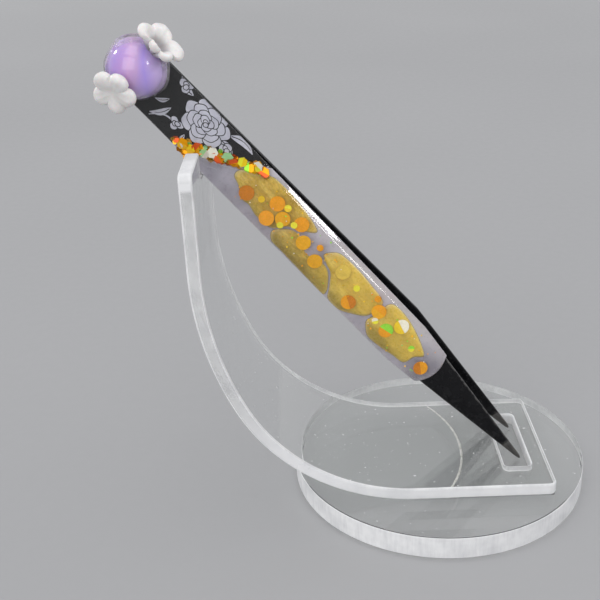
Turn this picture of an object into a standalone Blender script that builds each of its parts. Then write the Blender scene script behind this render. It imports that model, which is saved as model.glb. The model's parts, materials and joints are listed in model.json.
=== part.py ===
"""Spring tweezers with a decorated front blade, leaning in a clear bent stand.

Metres, +Z up. The origin is the centre of the base disc's underside. The points of
the tweezers stand in the slot at +X, the blades rest in the notch of the arm at -X,
and the decorated face looks towards -Y.

Pieces on the tweezers are drawn in the tweezers' own frame: x runs from the hinge
line at the head towards the points, z across the blades, y through their thickness.
"""
import math

import bmesh
import bpy
from mathutils import Vector

# Stand: disc and strip
DISC_RADIUS = 0.035
DISC_THICKNESS = 0.0056
DISC_CHAMFER = 0.0004
STRIP_WIDTH = 0.0379
STRIP_THICKNESS = 0.0029
STRIP_SHIFT = -0.0025
STRIP_CORNER_RADIUS = 0.0018
FOOT_REACH = 0.0245
ARM_REACH = 0.0519
ARM_TOP = 0.0847
LOW_BEND_RADIUS = 0.0410
HIGH_BEND_RADIUS = 0.0712
BEND_SPLIT = math.radians(62.7)

# Stand: cement under the foot
FILM_THICKNESS = 0.0001
FILM_GAP = 0.0001
FILM_INSET = 0.0004
FILM_LENGTH = 0.0192
FILM_HOLLOW_RADIUS = 0.033

# Stand: slot for the points and notch for the blades
SLOT_WIDTH = 0.0061
SLOT_END_MARGIN = 0.0043
SLOT_SIDE_CLEARANCE = 0.0017
SLOT_CORNER_RADIUS = 0.0010
NOTCH_DEPTH = 0.0058
NOTCH_SIDE_CLEARANCE = 0.0005
NOTCH_CORNER_RADIUS = 0.0015

# Tweezers
TWEEZERS_LENGTH = 0.131
HEAD_LENGTH = 0.012
HEAD_CORNER_RADIUS = 0.0025
BLADE_WIDTH = 0.0104
BLADE_THICKNESS = 0.0012
BLADE_CHAMFER = 0.0002
TAPER_LENGTH = 0.042
TIP_WIDTH = 0.0008
TIP_THICKNESS = 0.0006
THIN_LENGTH = 0.028
TIP_GAP = 0.0128
TIP_WALL_MARGIN = 0.0012
SPACER_THICKNESS = 0.0012
SPACER_INSET = 0.0006
SEAT_GAP = 0.0003

# Print and window on the front blade
LAYER_GAP = 0.0001
GEL_OVERHANG = 0.0006
BORDER_FROM_HEAD = 0.030
BORDER_SLANT = 1.76
FILM_PRINT_THICKNESS = 0.00015
TOPCOAT_THICKNESS = 0.0008
TOPCOAT_ROUND = 0.0004
BACKING_THICKNESS = 0.00025
WINDOW_FROM_TIP = 0.0318
WINDOW_END_BULGE = 0.0016
DOME_ROOF = 0.0008
DOME_ROUND = 0.0007
DOME_WALL = 0.0011

# Flakes in the window
FLAKE_THICKNESS = 0.00012
POOL_LAYERS = 2
DISC_LAYERS = 2
POOL_HALF_LENGTHS = (0.0078, 0.0115, 0.0098, 0.0080)
POOL_HALF_WIDTHS = (0.0032, 0.0022, 0.0030, 0.0030)
DISC_FLAKE_RADIUS = 0.00155
DOT_FLAKE_RADIUS = 0.00075

# Chips in the channel between print and window
CHIP_RADIUS = 0.00072
CHIP_THICKNESS = 0.0006
CHIP_GAP = 0.0002
CHIP_STAGGER = 0.0004
CHIP_SIDE_CLEARANCE = 0.0002

# Pearl, flowers and the gel that holds them
PEARL_RADIUS = 0.0059
PEARL_FROM_HEAD = 0.0047
PEARL_ACROSS = 0.0006
BED_HALO = 0.0008
BED_THICKNESS = 0.0006
FLOWER_RADIUS = 0.0050
FLOWER_HEIGHT = 0.0030
FLOWER_PETALS = 5
LOWER_FLOWER_TILT = math.radians(-42.0)
UPPER_FLOWER_TILT = math.radians(72.0)

# Places in the window: share of its length, and share of its half width
POOLS = ((0.215, -0.25), (0.400, -0.62), (0.590, 0.25), (0.810, -0.10))
DISCS = (
    (0.125, -0.50), (0.225, -0.75), (0.215, 0.50), (0.262, 0.02), (0.315, 0.68),
    (0.362, -0.10), (0.432, -0.45), (0.520, 0.45), (0.608, -0.80), (0.700, 0.30),
    (0.765, -0.30), (0.790, 0.70), (0.945, -0.55),
)
DOTS = (
    (0.170, -0.05), (0.270, -0.40), (0.300, 0.30), (0.410, 0.50), (0.590, 0.35),
    (0.664, 0.90), (0.715, -0.35), (0.870, 0.12),
)

# Derived places
DISC_TOP = DISC_THICKNESS
FOOT_BOTTOM = DISC_TOP + FILM_THICKNESS + 2.0 * FILM_GAP
FOOT_TOP = FOOT_BOTTOM + STRIP_THICKNESS
SLOT_RIGHT = FOOT_REACH - SLOT_END_MARGIN
ARM_LENGTH = TWEEZERS_LENGTH - HEAD_LENGTH
HALF_HEAD_GAP = SPACER_THICKNESS / 2.0 + LAYER_GAP
OPEN_SLOPE = (TIP_GAP / 2.0 - HALF_HEAD_GAP) / ARM_LENGTH
TAPER_START = ARM_LENGTH - TAPER_LENGTH
THIN_START = ARM_LENGTH - THIN_LENGTH
BORDER = BORDER_FROM_HEAD - HEAD_LENGTH
WINDOW_END = ARM_LENGTH - WINDOW_FROM_TIP
CHANNEL_WIDTH = 2.0 * (CHIP_RADIUS + CHIP_STAGGER + CHIP_SIDE_CLEARANCE)
BACKING_TOP = LAYER_GAP + BACKING_THICKNESS
DOT_LAYER = POOL_LAYERS + DISC_LAYERS
LAYER_STEP = FLAKE_THICKNESS + LAYER_GAP
RECESS_TOP = BACKING_TOP + LAYER_GAP + (DOT_LAYER + 1) * LAYER_STEP
DOME_TOP = RECESS_TOP + DOME_ROOF
PRINT_TOP = LAYER_GAP + FILM_PRINT_THICKNESS
TOPCOAT_TOP = PRINT_TOP + LAYER_GAP + TOPCOAT_THICKNESS
BED_TOP = TOPCOAT_TOP + LAYER_GAP + BED_THICKNESS
PEARL_BASE = BED_TOP + LAYER_GAP
PEARL_X = PEARL_FROM_HEAD - HEAD_LENGTH
GEL_HALF_WIDTH = BLADE_WIDTH / 2.0 + GEL_OVERHANG
FRONT = -1
REAR = 1
CUT_MARGIN = 0.002


def clear_scene():
    for item in list(bpy.data.objects):
        bpy.data.objects.remove(item, do_unlink=True)


def material(name, colour, roughness, metallic=0.0, alpha=1.0):
    made = bpy.data.materials.new(name)
    made.use_nodes = True
    shader = made.node_tree.nodes["Principled BSDF"]
    shader.inputs["Base Color"].default_value = (*colour, 1.0)
    shader.inputs["Roughness"].default_value = roughness
    shader.inputs["Metallic"].default_value = metallic
    shader.inputs["Alpha"].default_value = alpha
    return made


def empty(name, location=(0.0, 0.0, 0.0), tilt=0.0, parent=None):
    made = bpy.data.objects.new(name, None)
    made.location = location
    made.rotation_euler = (0.0, tilt, 0.0)
    made.parent = parent
    bpy.context.collection.objects.link(made)
    return made


def add_object(name, shape, finish, parent=None, smooth=False):
    mesh = bpy.data.meshes.new(name)
    if shape.calc_volume(signed=True) < 0.0:
        bmesh.ops.reverse_faces(shape, faces=shape.faces)
    shape.to_mesh(mesh)
    shape.free()
    if smooth:
        mesh.shade_smooth()
        mesh.set_sharp_from_angle(angle=math.radians(35.0))
    made = bpy.data.objects.new(name, mesh)
    made.parent = parent
    mesh.materials.append(finish)
    bpy.context.collection.objects.link(made)
    return made


def loft(rings):
    """Closed shape through rings of 3-D points, capped at both ends."""
    shape = bmesh.new()
    loops = [[shape.verts.new(point) for point in ring] for ring in rings]
    count = len(loops[0])
    for lower, upper in zip(loops, loops[1:]):
        for i in range(count):
            j = (i + 1) % count
            shape.faces.new((lower[i], lower[j], upper[j], upper[i]))
    shape.faces.new(loops[0][::-1])
    shape.faces.new(loops[-1])
    return shape


def ellipse(centre, half_length, half_width, points, wobble=0.0, turn=0.0):
    """Anticlockwise outline; wobble makes its edge wander like a pool's."""
    outline = []
    for i in range(points):
        angle = math.tau * i / points + turn
        reach = 1.0 + wobble * math.sin(3.0 * angle + centre[0] / BLADE_WIDTH)
        step = Vector((half_length * math.cos(angle), half_width * math.sin(angle)))
        outline.append(Vector(centre) + reach * step)
    return outline


def rounded_rectangle(low, high, radius, steps=4):
    """Anticlockwise rectangle from corner low to corner high, with round corners."""
    outline = []
    centres = ((high.x - radius, low.y + radius), (high.x - radius, high.y - radius))
    centres += ((low.x + radius, high.y - radius), (low.x + radius, low.y + radius))
    for turn, centre in enumerate(centres):
        for i in range(steps + 1):
            angle = math.pi / 2.0 * (turn - 1 + i / steps)
            outline.append(Vector(centre) + radius * Vector((math.cos(angle), math.sin(angle))))
    return outline


def inset(outline, distance):
    """An anticlockwise outline moved inwards, its corners kept sharp."""
    moved = []
    count = len(outline)
    for i, here in enumerate(outline):
        arriving = (here - outline[i - 1]).normalized()
        leaving = (outline[(i + 1) % count] - here).normalized()
        first = Vector((-arriving.y, arriving.x))
        second = Vector((-leaving.y, leaving.x))
        moved.append(here + (first + second) * (distance / (1.0 + first.dot(second))))
    return moved


def round_top(outline, top, radius, steps=3):
    """Rings that roll an outline's upper edge over to its top."""
    rings = []
    for i in range(steps + 1):
        angle = math.pi / 2.0 * i / steps
        height = top - radius * (1.0 - math.sin(angle))
        rings.append((inset(outline, radius * (1.0 - math.cos(angle))), height))
    return rings


def cut(target, cutter):
    target.modifiers.new("cut_" + cutter.name, "BOOLEAN").object = cutter


def make_cutter(name, rings, finish):
    made = add_object(name, loft(rings), finish)
    made.hide_render = True
    made.display_type = "WIRE"
    return made


# Shapes of the blades

def blade_half_width(x):
    along = max(0.0, (x - TAPER_START) / TAPER_LENGTH)
    return BLADE_WIDTH / 2.0 + (TIP_WIDTH - BLADE_WIDTH) / 2.0 * along


def inner_face(x):
    return HALF_HEAD_GAP + OPEN_SLOPE * max(x, 0.0)


def blade_thickness(x):
    along = max(0.0, (x - THIN_START) / THIN_LENGTH)
    return BLADE_THICKNESS + (TIP_THICKNESS - BLADE_THICKNESS) * along


def on_blade(x, z, height, side):
    """Point at a height over a blade's outer face; negative heights are in the blade."""
    share = 1.0 + min(height, 0.0) / BLADE_THICKNESS
    reach = inner_face(x) + blade_thickness(x) * share + max(height, 0.0)
    return Vector((x, side * reach, z))


def lay(name, rings, finish, parent, side=FRONT, smooth=False):
    """Loft of (outline, height) rings, laid on a blade and creased where the blade is."""
    flat = loft([[Vector((p.x, height, p.y)) for p in outline] for outline, height in rings])
    along = (1.0, 0.0, 0.0)
    for fold in (0.0, THIN_START):
        whole = flat.verts[:] + flat.edges[:] + flat.faces[:]
        bmesh.ops.bisect_plane(flat, geom=whole, dist=1e-7, plane_co=(fold, 0.0, 0.0), plane_no=along)
    for vertex in flat.verts:
        vertex.co = on_blade(vertex.co.x, vertex.co.z, vertex.co.y, side)
    return add_object(name, flat, finish, parent, smooth)


def head_corners(half_width):
    """Round corners of the head end, from the upper edge over to the lower."""
    low = Vector((-HEAD_LENGTH, -half_width))
    high = Vector((0.0, half_width))
    corners = rounded_rectangle(low, high, HEAD_CORNER_RADIUS)
    return corners[len(corners) // 2:]


def blade_outline():
    half = BLADE_WIDTH / 2.0
    outline = head_corners(half)
    outline += [Vector((TAPER_START, -half)), Vector((ARM_LENGTH, -TIP_WIDTH / 2.0))]
    outline += [Vector((ARM_LENGTH, TIP_WIDTH / 2.0)), Vector((TAPER_START, half))]
    return outline


def border(z, offset):
    """Place along the blade of the slanted line, moved square to itself by an offset."""
    return BORDER + BORDER_SLANT * z + offset * math.hypot(1.0, BORDER_SLANT)


def print_outline():
    half = GEL_HALF_WIDTH
    outline = head_corners(half)
    outline += [Vector((border(z, -CHANNEL_WIDTH / 2.0), z)) for z in (-half, half)]
    return outline


def window_outline(offset, steps=8):
    """Outline of the window, from the slanted line to the bulged end."""
    half = GEL_HALF_WIDTH
    corner = WINDOW_END - WINDOW_END_BULGE
    end_half = blade_half_width(corner) + GEL_OVERHANG
    outline = [Vector((border(-half, offset), -half)), Vector((TAPER_START, -half))]
    for i in range(steps + 1):
        share = 2.0 * i / steps - 1.0
        outline.append(Vector((corner + WINDOW_END_BULGE * (1.0 - share * share), end_half * share)))
    outline += [Vector((TAPER_START, half)), Vector((border(half, offset), half))]
    return outline


def in_window(along, across):
    """Place of a flake from its shares of the window's length and half width."""
    x = BORDER + (WINDOW_END - BORDER) * along
    room = blade_half_width(x) + GEL_OVERHANG - DOME_WALL - DISC_FLAKE_RADIUS
    return Vector((x, across * room))


def flake_rings(outline, layer):
    low = BACKING_TOP + LAYER_GAP + layer * LAYER_STEP
    return [(outline, low), (outline, low + FLAKE_THICKNESS)]


# Stand

def build_disc(finish):
    rings = []
    for height, shrink in ((0.0, 1), (DISC_CHAMFER, 0), (DISC_TOP - DISC_CHAMFER, 0), (DISC_TOP, 1)):
        radius = DISC_RADIUS - shrink * DISC_CHAMFER
        rings.append([Vector((p.x, p.y, height)) for p in ellipse((0.0, 0.0), radius, radius, 96)])
    add_object("base_disc", loft(rings), finish, smooth=True)


def bend_path(offset):
    """The strip's face at an offset out of its hollow side, from the bend's foot to its top."""
    low, high = LOW_BEND_RADIUS + offset, HIGH_BEND_RADIUS + offset
    run = LOW_BEND_RADIUS * math.sin(BEND_SPLIT) + HIGH_BEND_RADIUS * (1.0 - math.sin(BEND_SPLIT))
    low_centre = Vector((run - ARM_REACH, FOOT_TOP + LOW_BEND_RADIUS))
    step = HIGH_BEND_RADIUS - LOW_BEND_RADIUS
    high_centre = low_centre + step * Vector((math.sin(BEND_SPLIT), math.cos(BEND_SPLIT)))
    path = []
    for start, stop, centre, radius, steps in ((0.0, BEND_SPLIT, low_centre, low, 14),
                                               (BEND_SPLIT, math.pi / 2.0, high_centre, high, 7)):
        for i in range(steps + (stop > BEND_SPLIT)):
            angle = start + (stop - start) * i / steps
            path.append(centre + radius * Vector((-math.sin(angle), -math.cos(angle))))
    return path


def strip_sections():
    """Inner point, outer point and half width of each section, from the foot's end to the top."""
    half = STRIP_WIDTH / 2.0
    sections = []
    corner = [(1.0 - math.cos(math.pi / 8.0 * i), 1.0 - math.sin(math.pi / 8.0 * i)) for i in range(5)]
    for back, narrow in corner:
        x = FOOT_REACH - STRIP_CORNER_RADIUS * back
        inner, outer = Vector((x, FOOT_TOP)), Vector((x, FOOT_BOTTOM))
        sections.append((inner, outer, half - STRIP_CORNER_RADIUS * narrow))
    for inner, outer in zip(bend_path(0.0), bend_path(STRIP_THICKNESS)):
        sections.append((inner, outer, half))
    for back, narrow in corner[::-1]:
        z = ARM_TOP - STRIP_CORNER_RADIUS * back
        inner, outer = Vector((-ARM_REACH, z)), Vector((-ARM_REACH - STRIP_THICKNESS, z))
        sections.append((inner, outer, half - STRIP_CORNER_RADIUS * narrow))
    return sections


def slot_outline(grow=0.0):
    half = TIP_GAP / 2.0 + TIP_THICKNESS + SLOT_SIDE_CLEARANCE + abs(STRIP_SHIFT)
    low = Vector((SLOT_RIGHT - SLOT_WIDTH - grow, STRIP_SHIFT - half - grow))
    high = Vector((SLOT_RIGHT + grow, STRIP_SHIFT + half + grow))
    return rounded_rectangle(low, high, SLOT_CORNER_RADIUS)


def slot_cutter(name, finish, grow=0.0):
    heights = (DISC_TOP - CUT_MARGIN, FOOT_TOP + CUT_MARGIN)
    rings = [[Vector((p.x, p.y, z)) for p in slot_outline(grow)] for z in heights]
    return make_cutter(name, rings, finish)


def notch_cutter(finish):
    reach = BORDER + BORDER_SLANT * GEL_HALF_WIDTH
    half = inner_face(reach) + BLADE_THICKNESS + DOME_TOP + NOTCH_SIDE_CLEARANCE
    low = Vector((-half, ARM_TOP - NOTCH_DEPTH))
    outline = rounded_rectangle(low, Vector((half, ARM_TOP + NOTCH_DEPTH)), NOTCH_CORNER_RADIUS)
    ends = (-ARM_REACH - STRIP_THICKNESS - CUT_MARGIN, -ARM_REACH + CUT_MARGIN)
    rings = [[Vector((x, p.x, p.y)) for p in outline] for x in ends]
    return make_cutter("notch_cutter", rings, finish)


def build_strip(finish):
    rings = []
    for inner, outer, half in strip_sections():
        corners = ((inner, -half), (inner, half), (outer, half), (outer, -half))
        rings.append([Vector((p.x, STRIP_SHIFT + y, p.y)) for p, y in corners])
    strip = add_object("stand_arm", loft(rings), finish, smooth=True)
    cut(strip, slot_cutter("slot_cutter", finish))
    cut(strip, notch_cutter(finish))


def build_bond_film(finish, steps=12):
    """Cement film under the foot; its free edge is hollow where the cement stopped."""
    half = STRIP_WIDTH / 2.0 - FILM_INSET
    right = FOOT_REACH - FILM_INSET
    outline = [Vector((right, STRIP_SHIFT - half)), Vector((right, STRIP_SHIFT + half))]
    for i in range(steps + 1):
        y = half * (1.0 - 2.0 * i / steps)
        sag = FILM_HOLLOW_RADIUS - math.sqrt(FILM_HOLLOW_RADIUS**2 - y * y)
        outline.append(Vector((FOOT_REACH - FILM_LENGTH - sag, STRIP_SHIFT + y)))
    heights = (DISC_TOP + FILM_GAP, DISC_TOP + FILM_GAP + FILM_THICKNESS)
    rings = [[Vector((p.x, p.y, z)) for p in outline] for z in heights]
    film = add_object("bond_film", loft(rings), finish)
    cut(film, slot_cutter("film_cutter", finish, FILM_INSET))


# Tweezers

def seat():
    """Hinge place and tilt at which the points stand in the slot and the blades in the notch."""
    notch = Vector((-ARM_REACH, ARM_TOP - NOTCH_DEPTH))
    point = Vector((SLOT_RIGHT - TIP_WALL_MARGIN, DISC_TOP + SEAT_GAP + TIP_WIDTH / 2.0))
    span = notch - point
    tilt = math.atan2(span.y, -span.x) + math.asin((GEL_HALF_WIDTH + SEAT_GAP) / span.length)
    hinge = point + ARM_LENGTH * Vector((-math.cos(tilt), math.sin(tilt)))
    return (hinge.x, 0.0, hinge.y), tilt


def build_blade(name, side, finish, parent):
    outline = blade_outline()
    trimmed = inset(outline, BLADE_CHAMFER)
    rings = [(trimmed, -BLADE_THICKNESS), (outline, BLADE_CHAMFER - BLADE_THICKNESS)]
    rings += [(outline, -BLADE_CHAMFER), (trimmed, 0.0)]
    lay(name, rings, finish, parent, side)


def build_spacer(finish, parent):
    half = BLADE_WIDTH / 2.0 - SPACER_INSET
    low = Vector((-HEAD_LENGTH + SPACER_INSET, -half))
    outline = rounded_rectangle(low, Vector((-SPACER_INSET, half)), HEAD_CORNER_RADIUS)
    faces = (-SPACER_THICKNESS / 2.0, SPACER_THICKNESS / 2.0)
    rings = [[Vector((p.x, y, p.y)) for p in outline] for y in faces]
    add_object("head_spacer", loft(rings), finish, parent)


# Decoration of the front blade

def build_print(film_finish, coat_finish, parent):
    outline = print_outline()
    lay("print_film", [(outline, LAYER_GAP), (outline, PRINT_TOP)], film_finish, parent)
    rings = [(outline, PRINT_TOP + LAYER_GAP)] + round_top(outline, TOPCOAT_TOP, TOPCOAT_ROUND)
    lay("print_topcoat", rings, coat_finish, parent, smooth=True)


def build_window(backing_finish, dome_finish, parent):
    backing = window_outline(LAYER_GAP - CHANNEL_WIDTH / 2.0)
    lay("window_backing", [(backing, LAYER_GAP), (backing, BACKING_TOP)], backing_finish, parent)
    outline = window_outline(CHANNEL_WIDTH / 2.0)
    hollow = inset(outline, DOME_WALL)
    foot = BACKING_TOP + LAYER_GAP
    rings = [(hollow, RECESS_TOP), (hollow, foot), (outline, foot)]
    rings += round_top(outline, DOME_TOP, DOME_ROUND)
    lay("window_dome", rings, dome_finish, parent, smooth=True)


def build_flakes(pool_finish, disc_finish, dot_finish, parent):
    for i, (place, half_length, half_width) in enumerate(zip(POOLS, POOL_HALF_LENGTHS, POOL_HALF_WIDTHS)):
        outline = ellipse(in_window(*place), half_length, half_width, 24, wobble=0.06)
        lay(f"gold_pool_{i + 1}", flake_rings(outline, i % POOL_LAYERS), pool_finish, parent)
    for i, place in enumerate(DISCS):
        outline = ellipse(in_window(*place), DISC_FLAKE_RADIUS, DISC_FLAKE_RADIUS, 16)
        layer = POOL_LAYERS + i % DISC_LAYERS
        lay(f"glitter_disc_{i + 1:02d}", flake_rings(outline, layer), disc_finish, parent)
    for i, place in enumerate(DOTS):
        outline = ellipse(in_window(*place), DOT_FLAKE_RADIUS, DOT_FLAKE_RADIUS, 10)
        lay(f"glitter_dot_{i + 1}", flake_rings(outline, DOT_LAYER), dot_finish, parent)


def build_chips(finish, parent):
    """Six-sided chips in the channel, staggered from side to side along the slanted line."""
    reach = BLADE_WIDTH / 2.0 - CHIP_RADIUS
    low = BACKING_TOP + LAYER_GAP
    line = Vector((BORDER_SLANT, 1.0)).normalized()
    square = Vector((line.y, -line.x))
    length = 2.0 * reach / line.y
    count = int(length / (2.0 * CHIP_RADIUS + CHIP_GAP)) + 1
    for i in range(count):
        place = length * (i / (count - 1) - 0.5)
        offset = CHIP_STAGGER if i % 2 else -CHIP_STAGGER
        centre = Vector((BORDER, 0.0)) + line * place + square * offset
        outline = ellipse(centre, CHIP_RADIUS, CHIP_RADIUS, 6, turn=i)
        lay(f"border_chip_{i + 1:02d}", [(outline, low), (outline, low + CHIP_THICKNESS)], finish, parent)


def pearl_rings(steps=8):
    rings = []
    for i in range(steps):
        angle = math.pi / 2.0 * i / steps
        radius = PEARL_RADIUS * math.cos(angle)
        outline = ellipse((PEARL_X, PEARL_ACROSS), radius, radius, 32)
        rings.append((outline, PEARL_BASE + PEARL_RADIUS * math.sin(angle)))
    return rings


def build_pearl(bed_finish, pearl_finish, parent):
    radius = PEARL_RADIUS + BED_HALO
    outline = ellipse((PEARL_X, PEARL_ACROSS), radius, radius, 40)
    lay("gel_bed", [(outline, TOPCOAT_TOP + LAYER_GAP), (outline, BED_TOP)], bed_finish, parent)
    lay("pearl", pearl_rings(), pearl_finish, parent, smooth=True)


def build_flower(name, tilt, stand_off, finish, parent, steps=8):
    """Round-petalled flower set off from the pearl's side, turned out by its tilt."""
    profile = ((0.62, 0.0), (0.88, 0.18), (1.0, 0.45), (0.96, 0.72))
    profile += ((0.78, 0.95), (0.52, 1.0), (0.30, 0.86), (0.12, 0.78))
    outwards = on_blade(PEARL_X, 0.0, 1.0, FRONT) - on_blade(PEARL_X, 0.0, 0.0, FRONT)
    across = Vector((0.0, 0.0, 1.0))
    axis = math.cos(tilt) * outwards + math.sin(tilt) * across
    side = math.cos(tilt) * across - math.sin(tilt) * outwards
    along = Vector((1.0, 0.0, 0.0))
    base = on_blade(PEARL_X, PEARL_ACROSS, PEARL_BASE, FRONT) + axis * (PEARL_RADIUS + stand_off)
    rings = []
    for spread, rise in profile:
        ring = []
        for i in range(FLOWER_PETALS * steps):
            angle = math.tau * i / (FLOWER_PETALS * steps)
            lobe = 0.66 + 0.34 * math.sqrt(abs(math.sin(FLOWER_PETALS * angle / 2.0)))
            reach = FLOWER_RADIUS * spread * lobe
            rim = along * (reach * math.cos(angle)) + side * (reach * math.sin(angle))
            ring.append(base + axis * (FLOWER_HEIGHT * rise) + rim)
        rings.append(ring)
    add_object(name, loft(rings), finish, parent, smooth=True)


def main():
    clear_scene()
    acrylic = material("clear_acrylic", (0.86, 0.88, 0.88), 0.08, alpha=0.35)
    cement = material("cement", (0.78, 0.78, 0.76), 0.35, alpha=0.5)
    black = material("black_steel", (0.012, 0.012, 0.013), 0.28, metallic=0.6)
    steel = material("bare_steel", (0.55, 0.55, 0.56), 0.3, metallic=1.0)
    film = material("print_black", (0.015, 0.015, 0.018), 0.4)
    gel = material("clear_gel", (0.92, 0.92, 0.94), 0.05, alpha=0.3)
    lilac = material("lilac_backing", (0.45, 0.43, 0.52), 0.35)
    gold = material("gold_pigment", (0.42, 0.33, 0.06), 0.35, metallic=0.5)
    orange = material("orange_flake", (0.85, 0.36, 0.03), 0.25, metallic=0.6)
    yellow = material("yellow_flake", (0.9, 0.75, 0.12), 0.22, metallic=0.6)
    holographic = material("holographic_chip", (0.85, 0.45, 0.2), 0.2, metallic=0.7)
    lilac_pearl = material("lilac_pearl", (0.55, 0.38, 0.72), 0.15)
    white = material("white_flower", (0.82, 0.81, 0.79), 0.5)

    build_disc(acrylic)
    build_strip(acrylic)
    build_bond_film(cement)

    hinge, tilt = seat()
    lift = empty("tweezers_lift", hinge, tilt)
    front = empty("front_pivot", parent=lift)
    rear = empty("rear_pivot", parent=lift)
    build_spacer(steel, lift)
    build_blade("front_blade", FRONT, black, front)
    build_blade("rear_blade", REAR, black, rear)
    build_print(film, gel, front)
    build_window(lilac, gel, front)
    build_flakes(gold, orange, yellow, front)
    build_chips(holographic, front)
    build_pearl(gel, lilac_pearl, front)
    build_flower("flower_lower", LOWER_FLOWER_TILT, SEAT_GAP, white, front)
    build_flower("flower_upper", UPPER_FLOWER_TILT, BED_HALO + SEAT_GAP, white, front)


main()
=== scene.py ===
"""Looks of the decorated tweezers in their clear stand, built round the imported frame.

Lengths in the helpers are millimetres. Pieces on the tweezers are drawn in the tweezers' own
frame: x runs from the hinge line at the head towards the points, z across the blades, and
heights are counted outwards from a blade's outer face.
"""
import json
import math
import random

import bmesh
import bpy
from mathutils import Matrix, Vector


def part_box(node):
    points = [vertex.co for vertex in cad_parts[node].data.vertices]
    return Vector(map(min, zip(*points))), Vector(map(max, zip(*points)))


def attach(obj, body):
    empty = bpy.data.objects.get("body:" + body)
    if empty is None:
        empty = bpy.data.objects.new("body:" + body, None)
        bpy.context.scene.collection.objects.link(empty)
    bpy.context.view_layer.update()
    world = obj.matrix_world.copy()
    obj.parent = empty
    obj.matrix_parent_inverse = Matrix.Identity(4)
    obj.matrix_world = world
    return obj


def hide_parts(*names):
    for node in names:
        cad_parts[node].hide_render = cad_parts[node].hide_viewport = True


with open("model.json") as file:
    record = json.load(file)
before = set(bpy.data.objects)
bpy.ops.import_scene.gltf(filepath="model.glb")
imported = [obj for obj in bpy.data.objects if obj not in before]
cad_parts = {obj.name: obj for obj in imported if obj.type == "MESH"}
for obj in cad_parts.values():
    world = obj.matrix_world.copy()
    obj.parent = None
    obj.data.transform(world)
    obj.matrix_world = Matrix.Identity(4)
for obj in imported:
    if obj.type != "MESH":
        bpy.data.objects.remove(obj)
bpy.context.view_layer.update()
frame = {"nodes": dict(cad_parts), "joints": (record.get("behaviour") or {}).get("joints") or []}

MM = 0.001
PER_METRE = 1000.0
QUARTER = math.pi / 2.0
NOISE_LIMITS = (0.3, 0.7)
FRONT, REAR = -1.0, 1.0

# Stand
DISC_RADIUS, DISC_TOP, DISC_EDGE = 35.0, 5.6, 0.4
STRIP_HALF, STRIP_SHIFT, STRIP_THICKNESS = 18.95, -2.5, 2.9
STRIP_CORNER, STRIP_EDGE = 1.8, 0.4
FOOT_BOTTOM, FOOT_REACH, ARM_REACH, ARM_TOP = 5.9, 24.5, 51.9, 84.7
FOOT_TOP = FOOT_BOTTOM + STRIP_THICKNESS
LOW_BEND, HIGH_BEND, BEND_SPLIT = 41.0, 71.2, math.radians(62.7)
SLOT_RIGHT, SLOT_WIDTH, SLOT_HALF, SLOT_CORNER = 20.2, 6.1, 11.2, 1.0
NOTCH_HALF, NOTCH_DEPTH, NOTCH_CORNER = 6.1, 5.8, 1.5
SLOT_CUT, NOTCH_CUT, NOTCH_RUNOUT = (3.0, 12.0), (-58.0, -48.0), 6.0
CEMENT_LENGTH, CEMENT_RADIUS, CEMENT_INSET, CEMENT_GAP = 19.2, 33.0, 0.5, 0.06
BEAD_WIDTH, BEAD_SPREAD, BEAD_HEIGHT = 0.22, 0.12, 0.1

# Tweezers
HEAD_LENGTH, HEAD_CORNER, ARM_LENGTH = 12.0, 2.5, 119.0
BLADE_HALF, BLADE_THICKNESS, BLADE_EDGE = 5.2, 1.2, 0.28
TIP_HALF, TIP_THICKNESS, TIP_ROUND = 0.4, 0.6, 118.0
TAPER_START, THIN_START = 77.0, 91.0
HALF_GAP, CREASE = 0.7, 2.0
OPEN_SLOPE = (6.4 - HALF_GAP) / ARM_LENGTH
BARE_FROM, BARE_TO = 113.6, 114.6

# Decoration
GEL_OVERHANG = 0.6
BORDER, SLANT, BORDER_LOW = 18.0, 1.76, -4.5
ACROSS_BORDER = math.hypot(1.0, SLANT)
PRINT_STOP, BACKING_START, DOME_START = -0.75, -0.7, 0.9
PRINT_INSET, PRINT_LINE, PRINT_STEP = 0.05, 0.17, 0.004
WINDOW_END, WINDOW_BULGE = 87.2, 1.6
FILM_LOW, FILM_TOP = 0.1, 0.25
COAT_LOW, COAT_LIP, COAT_TOP, COAT_ROUND = 0.21, 0.1, 1.15, 1.1
BACKING_LOW, BACKING_TOP = 0.1, 0.4
DOME_LOW, DOME_LIP, DOME_TOP = 0.34, 0.12, 2.35
POOL_SEAT = 0.03
DISC_FLAKE, DOT_FLAKE, CHIP_HEIGHT = (1.35, 1.68), (1.55, 0.75), 1.05
PEARL_X, PEARL_Z, PEARL_BASE, PEARL_RADIUS = -7.3, 0.6, 1.95, 5.9
PEARL_SEGMENTS = 72
BED_LOW, BED_RADIUS = 1.25, 6.7
PETALS, FLOWER_HEIGHT, FLOWER_SEGMENTS = 5, 3.0, 140

hinge_joint = next(j for j in frame["joints"] if j["name"] == "front_squeeze")
HINGE = Vector(hinge_joint["pos_m"])
ACROSS = Vector(hinge_joint["axis"])
DEPTH = Vector((0.0, 1.0, 0.0))
ALONG = DEPTH.cross(ACROSS)
TILT = math.atan2(ACROSS.x, ACROSS.z)


# Places

def clamp(value):
    return min(1.0, max(0.0, value))


def place(x, y, z):
    """World place of a point in the tweezers' frame."""
    return HINGE + (ALONG * x + DEPTH * y + ACROSS * z) * MM


def taper(x, start, full, end):
    """Measure that is full up to a start and then runs to its end at the point."""
    return full + (end - full) * max(0.0, (x - start) / (ARM_LENGTH - start))


def blade_half(x):
    """Half width of a blade, round at the head's corners and tapered to the point."""
    if x < HEAD_CORNER - HEAD_LENGTH:
        back = HEAD_CORNER - (x + HEAD_LENGTH)
        return BLADE_HALF - HEAD_CORNER + math.sqrt(max(0.0, HEAD_CORNER**2 - back**2))
    return taper(x, TAPER_START, BLADE_HALF, TIP_HALF)


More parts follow.
